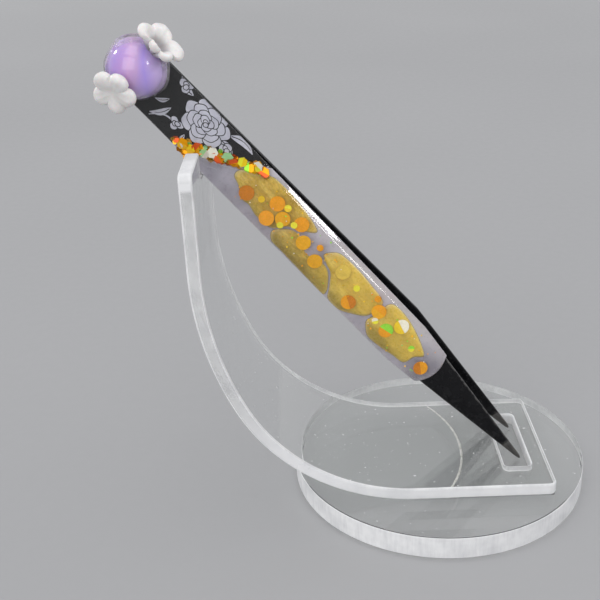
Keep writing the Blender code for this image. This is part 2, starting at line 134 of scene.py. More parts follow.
def blade_thickness(x):
    return taper(x, THIN_START, BLADE_THICKNESS, TIP_THICKNESS)


def inner_face(x):
    """Distance of a blade's inner face from the middle plane, eased over the crease."""
    if abs(x) < CREASE:
        return HALF_GAP + OPEN_SLOPE * (x + CREASE) ** 2 / (4.0 * CREASE)
    return HALF_GAP + OPEN_SLOPE * max(x, 0.0)


def on_blade(x, z, height, side=FRONT):
    return place(x, side * (inner_face(x) + blade_thickness(x) + height), z)


def middle(node):
    """Places along and across the tweezers of the middle of a solid."""
    low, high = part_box(node)
    step = ((low + high) / 2.0 - HINGE) / MM
    return step.dot(ALONG), step.dot(ACROSS)


def border(z, offset):
    """Place along the blade of a line at an offset from the slanted border."""
    return BORDER + SLANT * max(z, BORDER_LOW) + offset * ACROSS_BORDER


def gel_half(x):
    """Half width of the layers on the blade."""
    return blade_half(x) + GEL_OVERHANG


# Materials

class Nodes:
    """Short ways to add to a node tree."""

    def __init__(self, owner):
        owner.use_nodes = True
        self.tree = owner.node_tree

    def plug(self, value, socket):
        """Links a socket to another one, or gives it a number or a colour."""
        if isinstance(value, bpy.types.NodeSocket):
            self.tree.links.new(value, socket)
        elif socket.type == "RGBA":
            socket.default_value = (*value, 1.0)
        else:
            socket.default_value = value

    def fill(self, node, named):
        """Names in lower case are settings of the node, and others are its sockets."""
        for name, value in named.items():
            if name.islower():
                setattr(node, name, value)
            else:
                self.plug(value, node.inputs[name.replace("_", " ")])

    def node(self, kind, *values, **named):
        """New node, with its first sockets filled in order and others by name."""
        made = self.tree.nodes.new("ShaderNode" + kind)
        self.fill(made, named)
        for value, socket in zip(values, made.inputs):
            self.plug(value, socket)
        return made

    def math(self, operation, first, second):
        return self.node("Math", first, second, operation=operation).outputs[0]

    def either(self, share, first, second):
        """Two shaders, the second by a share."""
        return self.node("MixShader", share, first, second).outputs[0]


class Finish(Nodes):
    """A Principled material with patterns in millimetres, in the stand's or the tweezers' frame."""

    def __init__(self, name, stand=False, **sockets):
        self.material = bpy.data.materials.new(name)
        super().__init__(self.material)
        self.shader = self.tree.nodes["Principled BSDF"]
        self.surface = self.shader.outputs["BSDF"]
        self.feed(**sockets)
        self.place = self.node("TexCoord").outputs["Object"]
        shift = -PER_METRE * (Matrix.Rotation(-TILT, 3, "Y") @ HINGE)
        moved = {} if stand else {"Rotation": (0.0, -TILT, 0.0), "Location": shift}
        self.place = self.mapped(PER_METRE, PER_METRE, PER_METRE, **moved)

    def mapped(self, *scale, **more):
        return self.node("Mapping", self.place, Scale=scale, **more).outputs["Vector"]

    def feed(self, **sockets):
        self.fill(self.shader, sockets)

    def axes(self):
        split = self.node("SeparateXYZ", self.place)
        return split.outputs["X"], split.outputs["Z"]

    def attribute(self, name, output="Fac"):
        return self.node("Attribute", attribute_name=name).outputs[output]

    def noise(self, scale, detail=3.0, roughness=0.55):
        """Noise of one scale, or of one for each axis."""
        at = self.place
        if isinstance(scale, tuple):
            at, scale = self.mapped(*scale), 1.0
        return self.node("TexNoise", Vector=at, Scale=scale, Detail=detail,
                         Roughness=roughness).outputs["Fac"]

    def span(self, value, low, high, to_low=0.0, to_high=1.0):
        """A value between two limits, eased to lie between two others."""
        return self.node("MapRange", value, low, high, to_low, to_high,
                         interpolation_type="SMOOTHSTEP").outputs[0]

    def spread(self, noise, low, high):
        """Number that follows a noise."""
        return self.span(noise, *NOISE_LIMITS, low, high)

    def shade(self, noise, *colours):
        """Colour that follows a noise."""
        return self.ramp(noise, *zip(NOISE_LIMITS, colours))

    def ramp(self, value, *stops):
        made = self.node("ValToRGB", value)
        elements = made.color_ramp.elements
        while len(elements) < len(stops):
            elements.new(0.5)
        for element, (position, colour) in zip(elements, stops):
            element.position = position
            element.color = (*colour, 1.0)
        return made.outputs["Color"]

    def mix(self, factor, first, second, blend="MIX"):
        made = self.node("Mix", factor, data_type="RGBA", blend_type=blend)
        self.plug(first, made.inputs[6])
        self.plug(second, made.inputs[7])
        return made.outputs[2]

    def plus(self, first, second, share):
        """The first value and a share of the second."""
        return self.math("ADD", first, self.math("MULTIPLY", second, share))

    def bump(self, height, strength, distance):
        """Relief, with its distance in millimetres."""
        made = self.node("Bump", Height=height, Strength=strength, Distance=distance * MM)
        self.feed(Normal=made.outputs["Normal"])

    def blend(self, share, other):
        """Mixes another shader into the surface."""
        self.surface = self.either(share, self.surface, other.outputs["BSDF"])
        self.plug(self.surface, self.tree.nodes["Material Output"].inputs["Surface"])

    def clear_to_lamps(self, *colour):
        """Lets lamps shine through a clear solid on to what lies under it."""
        shadow = self.node("LightPath").outputs["Is Shadow Ray"]
        self.blend(shadow, self.node("BsdfTransparent", Color=colour))


def finish(name, stand=False, **sockets):
    """Turns a function on a Finish into the material that it makes."""
    def make(work):
        f = Finish(name, stand, **sockets)
        work(f)
        return f.material
    return make


@finish("clear_acrylic", True, Base_Color=(0.985, 0.992, 0.99), Transmission_Weight=1.0,
        IOR=1.49)
def clear_acrylic(f):
    speck = f.span(f.noise(0.9, 2.0), 0.70, 0.76)
    haze = f.span(f.noise(0.12), 0.3, 0.8, 0.005, 0.05)
    f.feed(Transmission_Weight=f.span(speck, 0.0, 1.0, 1.0, 0.25),
           Roughness=f.plus(haze, speck, 0.4))
    f.bump(f.noise(0.05), 0.06, 0.5)
    f.clear_to_lamps(0.93, 0.94, 0.94)


@finish("frosted_edge", True, Specular_IOR_Level=0.0)
def frosted_acrylic(f):
    """Sawn and routed edges, white from either side."""
    marks = f.noise((1.5, 1.5, 0.2), 4.0)
    worn = f.plus(f.math("MULTIPLY", f.noise(0.18), 0.68), marks, 0.32)
    f.feed(Base_Color=f.ramp(worn, (0.36, (0.76, 0.76, 0.77)), (0.6, (0.95, 0.95, 0.95))),
           Roughness=f.spread(f.noise(1.1, 2.0), 0.4, 0.55))
    f.blend(0.1, f.node("BsdfTranslucent", Color=(0.97, 0.97, 0.97)))
    f.clear_to_lamps(0.8, 0.8, 0.8)


@finish("cut_edge", True, IOR=1.49)
def clearing_edge(f):
    """The strip's long edge: whitish at the foot and at the top of the arm, clear between."""
    _, z = f.axes()
    clear = f.math("MULTIPLY", f.span(z, 10.0, 45.0), f.span(z, 82.0, 80.5))
    cut = f.spread(f.noise(1.1, 2.0), 0.3, 0.4)
    f.feed(Base_Color=f.shade(f.noise(0.18), (0.86, 0.86, 0.87), (0.97, 0.97, 0.97)),
           Transmission_Weight=f.span(clear, 0.0, 1.0, 0.04, 0.82),
           Roughness=f.math("SUBTRACT", cut, f.span(clear, 0.0, 0.25, 0.0, 0.27)))
    f.clear_to_lamps(0.8, 0.8, 0.8)


@finish("cement", True, Base_Color=(0.95, 0.95, 0.945), IOR=1.2)
def cement(f):
    cells = f.node("TexVoronoi", Vector=f.place, Scale=0.35).outputs["Distance"]
    bubbles = f.span(cells, 0.06, 0.14)
    f.feed(Transmission_Weight=f.span(bubbles, 0.0, 1.0, 0.7, 0.99),
           Roughness=f.spread(f.noise(0.2), 0.01, 0.04))
    f.clear_to_lamps(0.95, 0.95, 0.95)


@finish("cement_edge", True, Transmission_Weight=0.3, IOR=1.49)
def cement_bead(f):
    f.feed(Base_Color=f.shade(f.noise(0.9), (0.8, 0.78, 0.74), (0.98, 0.97, 0.94)),
           Roughness=f.spread(f.noise(2.0), 0.2, 0.5))
    f.clear_to_lamps(0.9, 0.9, 0.9)


@finish("black_steel", Specular_IOR_Level=0.18, Coat_Weight=0.06, Coat_Roughness=0.1)
def lacquered_steel(f):
    """Black lacquer that is ground off at the points and worn along the edges."""
    x, _ = f.axes()
    bare = f.span(f.plus(x, f.noise(1.6), 1.6), BARE_FROM, BARE_TO)
    worn = f.math("MULTIPLY", f.attribute("edge"), f.span(f.noise(0.9, 4.0), 0.42, 0.62))
    show = f.math("MAXIMUM", bare, f.math("MULTIPLY", worn, 0.75))
    steel = f.shade(f.noise((0.6, 4.0, 9.0)), (0.10, 0.096, 0.092), (0.24, 0.23, 0.22))
    black = f.shade(f.noise(0.25), (0.004, 0.004, 0.005), (0.008, 0.008, 0.009))
    f.feed(Base_Color=f.mix(show, black, steel), Metallic=show,
           Roughness=f.plus(f.spread(f.noise(0.5), 0.2, 0.3), bare, 0.1))
    f.bump(f.noise(1.4, 2.0), 0.08, 0.1)


@finish("bare_steel", Metallic=1.0)
def bare_steel(f):
    brushed = f.noise((0.5, 6.0, 8.0))
    f.feed(Base_Color=f.shade(brushed, (0.42, 0.42, 0.43), (0.62, 0.62, 0.62)),
           Roughness=f.spread(brushed, 0.25, 0.42))
    f.bump(brushed, 0.2, 0.05)


@finish("print_black", Specular_IOR_Level=0.15)
def print_ground(f):
    black = f.ramp(f.noise(0.8), (0.3, (0.003, 0.003, 0.004)), (0.75, (0.008, 0.008, 0.009)))
    f.feed(Base_Color=black, Roughness=f.spread(f.noise(2.0), 0.35, 0.5))


@finish("print_pale")
def print_ink(f):
    f.feed(Base_Color=f.shade(f.noise(0.5), (0.50, 0.50, 0.58), (0.68, 0.68, 0.75)),
           Roughness=f.spread(f.noise(2.0), 0.35, 0.5))


@finish("clear_gel", Base_Color=(0.98, 0.98, 0.985), Transmission_Weight=1.0, IOR=1.46,
        Coat_Weight=0.25, Coat_Roughness=0.03)
def clear_gel(f):
    f.feed(Roughness=f.spread(f.noise(0.35), 0.01, 0.05))
    f.bump(f.noise(0.12, 0.0), 0.1, 0.15)
    f.clear_to_lamps(0.95, 0.95, 0.95)


@finish("milky_gel", IOR=1.46)
def milky_gel(f):
    cloud = f.noise(0.35)
    f.feed(Base_Color=f.shade(cloud, (0.80, 0.76, 0.80), (0.93, 0.90, 0.93)),
           Transmission_Weight=f.spread(cloud, 0.9, 0.65),
           Roughness=f.spread(f.noise(0.9), 0.06, 0.2))
    f.clear_to_lamps(0.85, 0.83, 0.85)


@finish("lilac_backing", Coat_Weight=0.1)
def lilac_backing(f):
    """Lilac darkened by painted shade at the window's lower end, paler towards its upper side."""
    x, z = f.axes()
    body = f.shade(f.noise(0.3), (0.30, 0.285, 0.34), (0.43, 0.41, 0.48))
    # painted shade: darker towards the window's lower end
    body = f.mix(f.span(x, 78.0, 86.0, 0.0, 0.75), body, (0.19, 0.18, 0.21))
    f.feed(Base_Color=f.mix(f.span(z, 0.5, 5.0, 0.0, 0.6), body, (0.70, 0.68, 0.73)),
           Roughness=f.spread(f.noise(1.2), 0.25, 0.4))


@finish("gold_pigment", Specular_IOR_Level=0.6, Subsurface_Weight=0.1,
        Subsurface_Scale=0.0008)
def gold_pigment(f):
    """Grainy pigment that settled in streaks.

    It is paler towards the points, olive with painted shade along the window's lower side, and
    has a pale rim.
    """
    x, z = f.axes()
    depth = f.attribute("depth")
    flow = f.noise((0.16, 0.4, 0.55), 6.0, 0.62)
    grain = f.noise((1.3, 1.5, 2.4), 4.0, 0.65)
    body = f.ramp(flow, (0.3, (0.38, 0.235, 0.010)), (0.5, (0.60, 0.39, 0.030)),
                  (0.68, (0.84, 0.63, 0.12)))
    for share, colour in ((f.span(grain, 0.40, 0.58, 0.35, 0.0), (0.29, 0.19, 0.012)),
                          (f.span(x, 46.0, 54.0, 0.0, 0.38), (0.98, 0.73, 0.12)),
                          # painted shade: olive darkening towards the window's lower side
                          (f.span(f.plus(z, flow, 3.0), 0.5, -3.6, 0.0, 0.7), (0.20, 0.155, 0.02)),
                          (f.span(depth, 0.10, 0.02, 0.0, 0.7), (0.62, 0.48, 0.18)),
                          (f.span(depth, 0.015, 0.0), (0.10, 0.075, 0.03))):
        body = f.mix(share, body, colour)
    f.feed(Base_Color=body, Roughness=f.spread(f.noise(1.5), 0.22, 0.4))
    f.bump(flow, 0.15, 0.25)


def flake_film(name, metallic, smooth, rough):
    """Coloured film; each flake carries its own tint."""
    f = Finish(name, Metallic=metallic, Specular_IOR_Level=0.2, Coat_Weight=0.1,
               Coat_Roughness=0.1)
    shade = f.ramp(f.noise(0.7), (0.3, (0.86, 0.85, 0.84)), (0.65, (1.0, 1.0, 1.0)))
    f.feed(Base_Color=f.mix(1.0, f.attribute("tint", "Color"), shade, "MULTIPLY"),
           Roughness=f.spread(f.noise(2.5), smooth, rough))
    return f.material


@finish("lilac_pearl", Coat_Weight=0.9, Coat_Roughness=0.04, Subsurface_Weight=0.1,
        Subsurface_Scale=0.002, Sheen_Weight=0.1, Sheen_Roughness=0.4,
        Sheen_Tint=(0.8, 0.7, 1.0))
def pearl_lacquer(f):
    """Lilac and pink in slanted bands, paler at the rim by a painted sheen that follows the view.
    """
    x, z = f.axes()
    drift = f.plus(f.math("ADD", x, z), f.noise(0.12, 1.0), 6.0)
    band = f.span(drift, PEARL_X + PEARL_Z - 4.5, PEARL_X + PEARL_Z + 10.5)
    body = f.ramp(band, (0.05, (0.42, 0.25, 0.68)), (0.35, (0.60, 0.36, 0.66)),
                  (0.58, (0.55, 0.36, 0.66)), (0.8, (0.43, 0.31, 0.80)),
                  (0.97, (0.57, 0.42, 0.78)))
    # painted sheen: paler lilac where the surface turns away from the view
    rim = f.math("MULTIPLY", f.node("LayerWeight", Blend=0.3).outputs["Facing"], 0.7)
    f.feed(Base_Color=f.mix(rim, body, (0.56, 0.47, 0.74)),
           Roughness=f.spread(f.noise(0.5), 0.16, 0.26))


@finish("white_flower", Subsurface_Weight=0.15, Subsurface_Scale=0.001,
        Specular_IOR_Level=0.4)
def white_flower(f):
    """White moulded petals, greyed by painted shade in their folds."""
    petal = f.shade(f.noise(0.5), (0.70, 0.68, 0.66), (0.82, 0.80, 0.79))
    # painted shade: the depth attribute greys the throat, the creases between petals and the back
    painted_fold_shade = f.span(f.attribute("depth"), 0.1, 0.7)
    f.feed(Base_Color=f.mix(painted_fold_shade, (0.33, 0.305, 0.315), petal),
           Roughness=f.spread(f.noise(1.4), 0.3, 0.45))
    f.bump(f.noise(1.0), 0.2, 0.15)


FLAKE = flake_film("glitter_film", 0.04, 0.18, 0.34)
CHIP = flake_film("holographic_film", 0.55, 0.06, 0.16)


# Meshes

TWEEZERS = bpy.data.collections.new("tweezers")


def outward_mesh(name, verts, faces):
    """Mesh with its faces turned outwards."""
    mesh = bpy.data.meshes.new(name)
    mesh.from_pydata([tuple(v) for v in verts], [], faces)
    shape = bmesh.new()
    shape.from_mesh(mesh)
    bmesh.ops.recalc_face_normals(shape, faces=shape.faces)
    shape.to_mesh(mesh)
    shape.free()
    return mesh


def assign(owner, **settings):
    for name, value in settings.items():
        setattr(owner, name, value)
    return owner


def put(name, data):
    made = bpy.data.objects.new(name, data)
    bpy.context.scene.collection.objects.link(made)
    return made


def dress(name, mesh, finishes, slot, *replaces, body="front_arm", pick=None, sharp=40.0):
    """Mesh as a named piece that rides on a body; pick chooses a face's finish."""
    for material in finishes:
        mesh.materials.append(material)
    if pick:
        for face in mesh.polygons:
            face.material_index = pick(face)
    mesh.shade_smooth()
    mesh.set_sharp_from_angle(angle=math.radians(sharp))
    made = put(name, mesh)
    if body != "stand":
        TWEEZERS.objects.link(made)
    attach(made, body)
    if replaces:
        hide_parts(*replaces)
    return made


def piece(name, shape, *places, **looks):
    """Points and faces of a closed solid as a named piece."""
    return dress(name, outward_mesh(name, *shape), *places, **looks)


def tag(made, name, values):
    """Stores one number per point under a name."""
    made.data.attributes.new(name, "FLOAT", "POINT").data.foreach_set("value", values)


def tint(made, colours):
    """Stores one colour per face."""
    layer = made.data.attributes.new("tint", "FLOAT_COLOR", "CORNER")
    for face, colour in zip(made.data.polygons, colours):
        for corner in face.loop_indices:
            layer.data[corner].color = (*colour, 1.0)


def circle(count):
    """Cosine and sine at steps round a circle."""
    turns = [math.tau * i / count for i in range(count)]
    return [(math.cos(turn), math.sin(turn)) for turn in turns]


def skin(rings):
    """Points and faces through rings of points, capped at both ends."""
    verts = [p for ring in rings for p in ring]
    count = len(rings[0])
    last = len(verts) - count
    faces = []
    for start in range(0, last, count):
        for i in range(count):
            a, b = start + i, start + (i + 1) % count
            faces.append((a, b, b + count, a + count))
    faces += [tuple(range(count))[::-1], tuple(range(last, len(verts)))]
    return verts, faces


def slab(top, bottom):
    """Closed solid between two grids of points with the same layout."""
    rows, columns = len(top), len(top[0])
    verts = [p for row in top + bottom for p in row]
    under = rows * columns
    faces = []
    for r in range(rows - 1):
        for c in range(columns - 1):
            a, b = r * columns + c, r * columns + c + 1
            d, e = a + columns, b + columns
            faces.append((a, b, e, d))
            faces.append((under + a, under + d, under + e, under + b))
    last = under - columns
    rim = [*range(columns), *range(2 * columns - 1, under, columns),
           *range(under - 2, last - 1, -1), *range(last - columns, 0, -columns)]
    for a, b in zip(rim, rim[1:] + rim[:1]):
        faces.append((a, under + a, under + b, b))
    return verts, faces


def merged(shapes):
    """Points and faces of many solids as one."""
    verts, faces = [], []
    for points, sides in shapes:
        start = len(verts)
        verts += points
        faces += [tuple(start + i for i in side) for side in sides]
    return verts, faces


def crowded(count):
    """Shares from 0 to 1 that crowd together at both ends."""
    return [0.5 - 0.5 * math.cos(math.pi * i / (count - 1)) for i in range(count)]


def smooth_loop(points, steps=6):
    """Closed curve through points."""
    count = len(points)
    loop = []
    for i in range(count):
        a, b, c, d = (Vector(points[(i + k) % count]) for k in (-1, 0, 1, 2))
        for k in range(steps):
            t = k / steps
            loop.append(0.5 * (2.0 * b + (c - a) * t + (2.0 * a - 5.0 * b + 4.0 * c - d) * t**2
                               + (3.0 * b - a - 3.0 * c + d) * t**3))
    return loop


def rounded_rectangle(low, high, radius, steps=8):
    left, right = low[0] + radius, high[0] - radius
    near, far = low[1] + radius, high[1] - radius
    outline = []
    for turn, (x, y) in enumerate(((right, near), (right, far), (left, far), (left, near))):
        for i in range(steps + 1):
            angle = QUARTER * (turn - 1 + i / steps)
            outline.append((x + radius * math.cos(angle), y + radius * math.sin(angle)))
    return outline


# Stand

def build_disc(segments=192, steps=4):
    rings = []
    for height, start in ((DISC_EDGE, -QUARTER), (DISC_TOP - DISC_EDGE, 0.0)):
        for i in range(steps + 1):
            angle = start + QUARTER * i / steps
            radius = DISC_RADIUS - DISC_EDGE * (1.0 - math.cos(angle))
            z = height + DISC_EDGE * math.sin(angle)
            rings.append([Vector((radius * c, radius * s, z)) * MM for c, s in circle(segments)])
    piece("base_disc_clear", skin(rings), (clear_acrylic, frosted_acrylic), "clear_acrylic",
          "base_disc", body="stand", pick=lambda face: int(abs(face.normal.z) < 0.6), sharp=9.0)


def bend_path(offset, low_steps=48, high_steps=20):
    """The strip's two bends, end to end, at an offset from its inner side."""
    run = LOW_BEND * math.sin(BEND_SPLIT) + HIGH_BEND * (1.0 - math.sin(BEND_SPLIT))
    split = Vector((math.sin(BEND_SPLIT), math.cos(BEND_SPLIT)))
    low_centre = Vector((run - ARM_REACH, FOOT_TOP + LOW_BEND))
    high_centre = low_centre + (HIGH_BEND - LOW_BEND) * split
    turns = [(low_centre, LOW_BEND, BEND_SPLIT * i / low_steps) for i in range(low_steps)]
    for i in range(high_steps + 1):
        turn = BEND_SPLIT + (QUARTER - BEND_SPLIT) * i / high_steps
        turns.append((high_centre, HIGH_BEND, turn))
    return [centre + (radius + offset) * Vector((-math.sin(turn), -math.cos(turn)))
            for centre, radius, turn in turns]


def blank(name, rings):
    """Solid that is cut or cuts, and isn't kept."""
    verts, faces = skin(rings)
    return put(name, outward_mesh(name, [v * MM for v in verts], faces))


def arm_finish(face, flat=0.95):
    """0 on clear faces, 1 on frosted cuts and edges, and 2 on the strip's front edge."""
    x, z = face.center.x / MM, face.center.z / MM
    normal = face.normal
    if z < FOOT_TOP + 0.05 and x > -8.0:
        return int(abs(normal.z) < flat)
    if z > ARM_TOP - NOTCH_DEPTH - 0.1:
        return int(abs(normal.x) < flat)
    if 0.2 < abs(normal.y) < 0.97 or normal.y > 0.6:
        return 1
    return 2 * int(normal.y < -0.6)


def build_arm():
    """Bent strip, cut by the slot and the notch, with all its edges eased."""
    turns = [QUARTER * i / 8.0 for i in range(9)]
    corner = [(STRIP_CORNER * (1.0 - math.cos(turn)),
               STRIP_HALF - STRIP_CORNER * (1.0 - math.sin(turn))) for turn in turns]
    sections = []
    for back, half in corner:
        x = FOOT_REACH - back
        sections.append((Vector((x, FOOT_TOP)), Vector((x, FOOT_BOTTOM)), half))
    for inner, outer in zip(bend_path(0.0), bend_path(STRIP_THICKNESS)):
        sections.append((inner, outer, STRIP_HALF))
    for back, half in corner[::-1]:
        z = ARM_TOP - back
        sections.append((Vector((-ARM_REACH, z)), Vector((-ARM_REACH - STRIP_THICKNESS, z)), half))
    rings = []
    for inner, outer, half in sections:
        corners = ((inner, -half), (inner, half), (outer, half), (outer, -half))
        rings.append([Vector((p.x, STRIP_SHIFT + y, p.y)) for p, y in corners])
    strip = blank("strip_blank", rings)
    slot = rounded_rectangle((SLOT_RIGHT - SLOT_WIDTH, STRIP_SHIFT - SLOT_HALF),
                             (SLOT_RIGHT, STRIP_SHIFT + SLOT_HALF), SLOT_CORNER)
    notch = rounded_rectangle((-NOTCH_HALF, ARM_TOP - NOTCH_DEPTH),
                              (NOTCH_HALF, ARM_TOP + NOTCH_RUNOUT), NOTCH_CORNER)
    cutters = [
        blank("slot_blank", [[Vector((x, y, z)) for x, y in slot] for z in SLOT_CUT]),
        blank("notch_blank", [[Vector((x, y, z)) for y, z in notch] for x in NOTCH_CUT])]
    for cutter in cutters:
        assign(strip.modifiers.new(cutter.name, "BOOLEAN"), object=cutter)
    assign(strip.modifiers.new("flats", "DECIMATE"), decimate_type="DISSOLVE",
           angle_limit=math.radians(0.5))
    assign(strip.modifiers.new("edges", "BEVEL"), width=STRIP_EDGE * MM, segments=2,
           limit_method="ANGLE", angle_limit=math.radians(50.0), use_clamp_overlap=False)
    shown = strip.evaluated_get(bpy.context.evaluated_depsgraph_get())
    mesh = bpy.data.meshes.new_from_object(shown)
    for used in (strip, *cutters):
        bpy.data.objects.remove(used, do_unlink=True)
    dress("stand_arm_clear", mesh, (clear_acrylic, frosted_acrylic, clearing_edge), "clear_acrylic",
          "stand_arm", body="stand", pick=arm_finish, sharp=15.0)


def cement_edge(share):
    """Point on the free edge of the cement, from one side of the foot to the other."""
    y = (STRIP_HALF - CEMENT_INSET) * (1.0 - 2.0 * share)
    sag = CEMENT_RADIUS - math.sqrt(CEMENT_RADIUS**2 - y * y)
    return Vector((FOOT_REACH - CEMENT_LENGTH - sag, STRIP_SHIFT + y, 0.0))


def build_cement(steps=60, columns=6):
    """Cement between foot and disc, and the uneven bead along its free edge."""
    low, high = DISC_TOP + CEMENT_GAP, FOOT_BOTTOM - CEMENT_GAP
    edge = [cement_edge(i / steps) for i in range(steps + 1)]
    grids = []
    for z in (high, low):
        grids.append([[Vector((p.x + (FOOT_REACH - CEMENT_INSET - p.x) * k / columns, p.y, z)) * MM
                       for k in range(columns + 1)] for p in edge])
    piece("cement_film", slab(*grids), (cement,), "cement", "bond_film", body="stand")
    generator = random.Random(3)
    z = (low + high) / 2.0
    rings = []
    for p in edge:
        width = BEAD_WIDTH + BEAD_SPREAD * generator.random()
        rings.append([(p + Vector((width * c, 0.0, z + BEAD_HEIGHT * s))) * MM
                      for c, s in circle(8)])
    piece("cement_meniscus", skin(rings), (cement_bead,), "cement", body="stand")


# Blades

def blade_stations():
    """Places along a blade, closer where its form changes."""
    stations = [HEAD_CORNER * (1.0 - math.cos(QUARTER * i / 8.0)) - HEAD_LENGTH for i in range(8)]
    for start, step, count in ((HEAD_CORNER - HEAD_LENGTH, 0.7, 11), (-CREASE, 0.4, 11),
                               (2.5, 2.5, 30), (TAPER_START, 2.0, 21)):
        stations += [start + step * i for i in range(count)]
    stations += [TIP_ROUND, TIP_ROUND + 0.5, TIP_ROUND + 0.8, ARM_LENGTH]
    return sorted(set(round(x, 4) for x in stations))


def build_blade(name, side, body, node, steps=4):
    """Blade with rounded edges, of which the outer ones are tagged for wear."""
    rings = []
    for x in blade_stations():
        half, thick = blade_half(x), blade_thickness(x)
        if x > TIP_ROUND:
            half *= 1.0 - 0.5 * (x - TIP_ROUND) ** 2
        radius = min(BLADE_EDGE, 0.45 * thick, 0.6 * half)
        section = rounded_rectangle((-half, -thick), (half, 0.0), radius, steps)
        section = section[steps + 1:] + section[:steps + 1]
        rings.append([on_blade(x, z, height, side) for z, height in section])
    made = piece(name, skin(rings), (lacquered_steel,), "black_steel", node, body=body, sharp=50.0)
    edge = [float(turn < 2 and 0 < i < steps) for turn in range(4) for i in range(steps + 1)]
    tag(made, "edge", edge * len(rings))


def build_spacer():
    node = frame["nodes"]["head_spacer"]
    node.data.materials.clear()
    node.data.materials.append(bare_steel)


# Layers on the front blade

def layer_grid(rows, columns, guess, ends):
    """Places between a layer's ends, which depend on z, and where x is first sought."""
    grid = []
    for s in crowded(rows):
        row = []
        for c in crowded(columns):
            t = 2.0 * c - 1.0
            x = guess[0] + (guess[1] - guess[0]) * s
            for _ in range(6):
                start, stop = ends(t * gel_half(x), t)
                x = start + (stop - start) * s
            row.append((x, t * gel_half(x)))
        grid.append(row)
    return grid


def sheet(grid, low, top, lip=0.0, rise=lambda x, z: 1.0):
    """Layer that rises from a lip along its edge to its top."""
    edge = low + lip
    swell = top - edge
    return slab([[on_blade(x, z, edge + swell * rise(x, z)) for x, z in row] for row in grid],
                [[on_blade(x, z, low) for x, z in row] for row in grid])


def head_rise(x, z):
    """Share of the coat's full height at a place, round over its edges."""
    gap = min(gel_half(x) - abs(z), (border(z, PRINT_STOP) - x) / ACROSS_BORDER, x + HEAD_LENGTH)
    return math.sqrt(1.0 - (1.0 - clamp(gap / COAT_ROUND)) ** 2)


def window_rise(x, z):
    """Share of the dome's full height at a place: broad and shallow at the upper side."""
    half = gel_half(x)
    end = WINDOW_END - WINDOW_BULGE * (z / half) ** 2
    start = (x - border(z, DOME_START)) / ACROSS_BORDER
    share = 1.0
    for gap, reach, contact in ((half - z, 3.5, 58.0), (half + z, 2.2, 90.0), (start, 1.8, 90.0),
                                (end - x, 2.4, 90.0)):
        flat = math.cos(math.radians(contact))
        slope = math.sin(math.radians(contact)) * (1.0 - clamp(gap / reach))
        share *= (math.sqrt(1.0 - slope * slope) - flat) / (1.0 - flat)
    return share


def build_print_layers():
    grid = layer_grid(60, 24, (0.0, 0.0), lambda z, t: (-HEAD_LENGTH, border(z, PRINT_STOP)))
    film = sheet(grid, FILM_LOW, FILM_TOP)
    piece("print_film_black", film, (print_ground,), "print_black", "print_film")
    coat = sheet(grid, COAT_LOW, COAT_TOP, COAT_LIP, head_rise)
    piece("print_coat_clear", coat, (clear_gel,), "clear_gel", "print_topcoat", sharp=82.0)


def window_grid(rows, columns, offset):
    """Places from an offset to the slanted border to the window's round end."""
    return layer_grid(rows, columns, (BORDER, WINDOW_END), lambda z, t: (
        border(z, offset), WINDOW_END - WINDOW_BULGE * t * t))


def build_window():
    backing = sheet(window_grid(80, 20, BACKING_START), BACKING_LOW, BACKING_TOP)
    piece("window_backing_lilac", backing, (lilac_backing,), "lilac_backing",
          "window_backing")
    grid = window_grid(160, 44, DOME_START)
    dome = sheet(grid, DOME_LOW, DOME_TOP, DOME_LIP, window_rise)
    piece("window_dome_clear", dome, (clear_gel,), "clear_gel", "window_dome", sharp=82.0)


# Print

def oval(centre, reach, angle):
    """Point round a centre, on a circle stretched along the blade."""
    return (centre[0] + 1.12 * reach * math.cos(angle), centre[1] + 0.9 * reach * math.sin(angle))


def soft_round(centre, radius, phase, steps=40):
    """Outline of a soft petal."""
    outline = []
    for i in range(steps):
        angle = math.tau * i / steps
        wave = 0.07 * math.sin(2.0 * angle + phase) + 0.035 * math.sin(5.0 * angle + 2.0 * phase)
        outline.append(oval(centre, radius * (1.0 + wave), angle))
    return outline


def rose(centre, size, turn, rows):
    """Overlapping petals, each with a dark line round it; 1 is ink and 0 is ground."""
    shapes = []
    for count, distance, radius in rows:
        for k in range(count):
            heading = turn + math.tau * k / count + 0.9 * count
            at = oval(centre, size * distance, heading)
            shapes.append((soft_round(at, size * radius + PRINT_LINE, heading), 0))
            shapes.append((soft_round(at, size * radius, heading), 1))
    return shapes


def ribbon(points, width):
    """Outline of a line that thins out towards its end."""
    left, right = [], []
    last = len(points) - 1
    for i, (x, z) in enumerate(points):
        a, b = Vector(points[max(i - 1, 0)]), Vector(points[min(i + 1, last)])
        half = width / 2.0 * (1.0 - 0.7 * i / last)
        side = Vector((a.y - b.y, b.x - a.x)).normalized() * half
        left.append((x + side.x, z + side.y))
        right.append((x - side.x, z - side.y))
    return left + right[::-1]


def leaf(root, heading, length, width, steps=14):
    """A pointed leaf with a dark midrib."""
    along = Vector((math.cos(heading), math.sin(heading)))
    side = Vector((-along.y, along.x))
    left, right, rib = [], [], []
    for i in range(steps + 1):
        u = i / steps
        bend = math.sin(math.pi * u)
        spine = Vector(root) + along * (length * u) + side * (0.12 * length * bend)
        bow = side * (0.05 + width * bend**0.9 * (1.0 - 0.35 * u))
        left.append(tuple(spine - bow))
        right.append(tuple(spine + bow))
        if 0.05 < u < 0.9:
            rib.append(tuple(spine))
    return [(left + right[::-1], 1), (ribbon(rib, 0.2), 0)]


